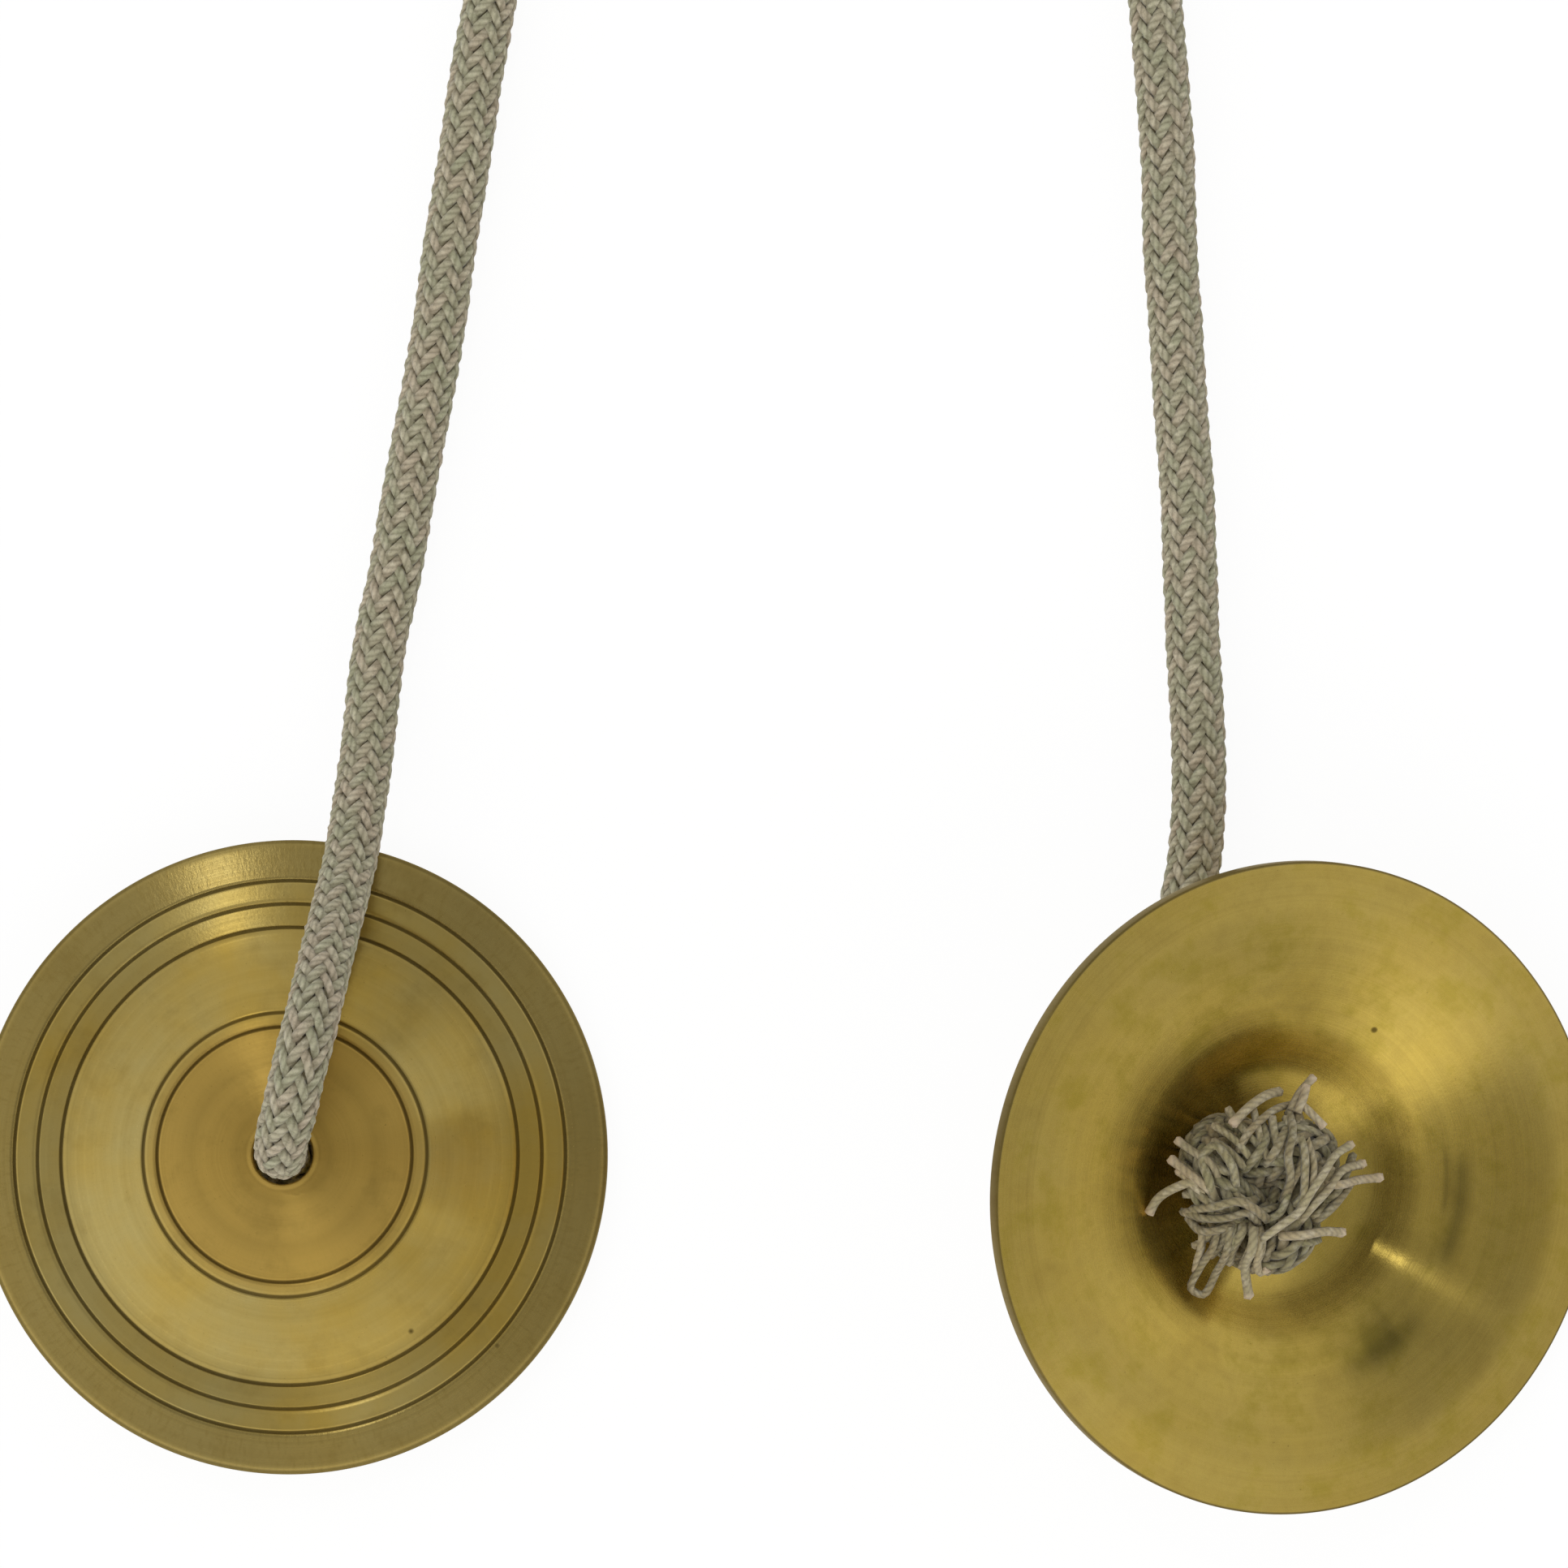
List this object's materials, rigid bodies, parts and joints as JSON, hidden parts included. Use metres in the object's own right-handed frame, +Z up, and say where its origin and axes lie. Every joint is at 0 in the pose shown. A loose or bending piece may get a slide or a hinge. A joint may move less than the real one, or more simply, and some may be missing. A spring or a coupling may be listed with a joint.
{
  "type": "pair of manjira cymbals",
  "caption": "Pair of small turned brass hand cymbals with grooved domes, joined by a braided cotton cord knotted inside each cup, with frayed ends.",
  "frame": {"origin": "on the table, under the middle of the box round the two cymbals", "axes": "+X from the dome-up cymbal to the dome-down one, +Y along the cord away from the cymbals, +Z up"},
  "size_m": [0.178, 0.2446, 0.0324],
  "materials": {
    "brass": "turned on a lathe, dull polish",
    "cotton_cord": "undyed braided cotton"
  },
  "bodies": {
    "right_cord": {"cord_right": "cotton_cord", "cord_arch": "cotton_cord"},
    "left_cord": {"cord_left": "cotton_cord"},
    "left_knot": {"knot_left": "cotton_cord"},
    "left_cymbal": {"cymbal_left": "brass"},
    "right_knot": {"knot_right": "cotton_cord"},
    "right_cymbal": {"cymbal_right": "brass"}
  },
  "joints": [
    {"name": "cord_swing", "type": "hinge", "parent": "right_cord", "child": "left_cord", "pos_m": [0.0053, 0.2053, 0.0031], "axis": [0, 0, 1], "range_deg": [-20, 10], "deforming": ["cord_arch"]},
    {"name": "left_rock", "type": "hinge", "parent": "left_cord", "child": "left_knot", "pos_m": [-0.05306, 0.00182, 0.01521], "axis": [-0.3011, 0.9536, 0], "range_deg": [-7, 0]},
    {"name": "left_spin", "type": "hinge", "parent": "left_knot", "child": "left_cymbal", "pos_m": [-0.05306, 0.00182, 0.01521], "axis": [0.1002, 0.0317, 0.9945], "continuous": true},
    {"name": "right_rock", "type": "hinge", "parent": "right_cord", "child": "right_knot", "pos_m": [0.05073, -0.00008, 0.00305], "axis": [0.2402, 0.9707, 0], "range_deg": [-28, 0]},
    {"name": "right_spin", "type": "hinge", "parent": "right_knot", "child": "right_cymbal", "pos_m": [0.05073, -0.00008, 0.00305], "axis": [0.4255, -0.1053, 0.8988], "continuous": true}
  ]
}
